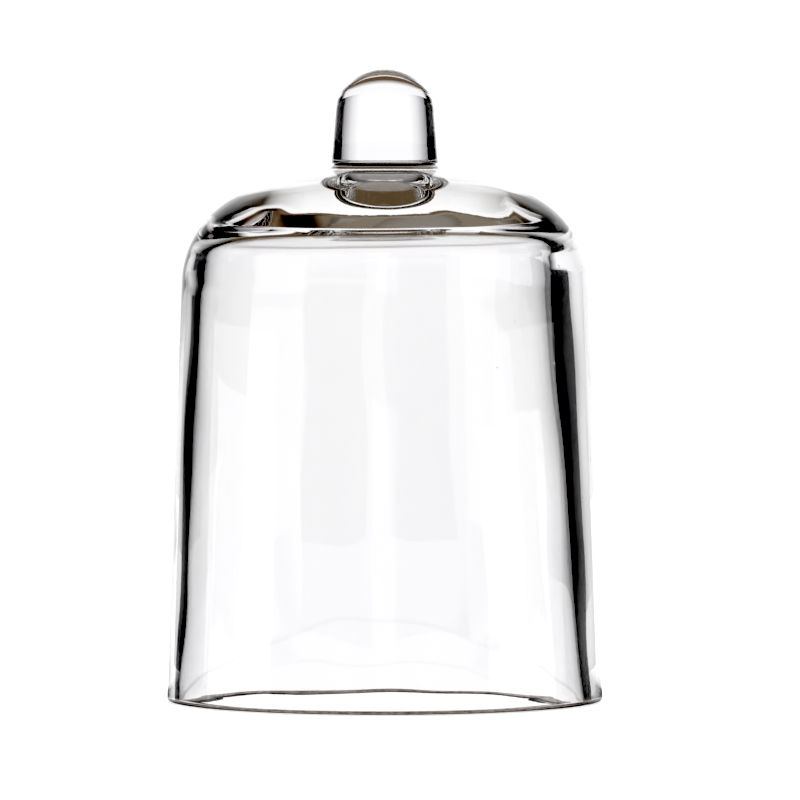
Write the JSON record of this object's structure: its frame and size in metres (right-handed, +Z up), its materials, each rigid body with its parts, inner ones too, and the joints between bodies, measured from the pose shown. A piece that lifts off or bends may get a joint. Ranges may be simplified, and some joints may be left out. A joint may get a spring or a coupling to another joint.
{
  "type": "bell jar dome",
  "caption": "Clear glass display dome: tapering open-bottomed shell under a thick rounded crown, with a solid glass grip knob on top.",
  "frame": {"origin": "on the dome's axis, in the plane of the open rim that it rests on", "axes": "+Z up along the axis, from the open rim towards the knob; +X and +Y are any two directions at right angles, because the dome is round"},
  "size_m": [0.1799, 0.1798, 0.2607],
  "materials": {
    "shell_glass": "clear, polished",
    "collar_glass": "clear, fire polished",
    "knob_glass": "clear, fire polished"
  },
  "bodies": {
    "root": {"dome_shell": "shell_glass", "neck_collar": "collar_glass", "knob": "knob_glass"}
  },
  "joints": []
}
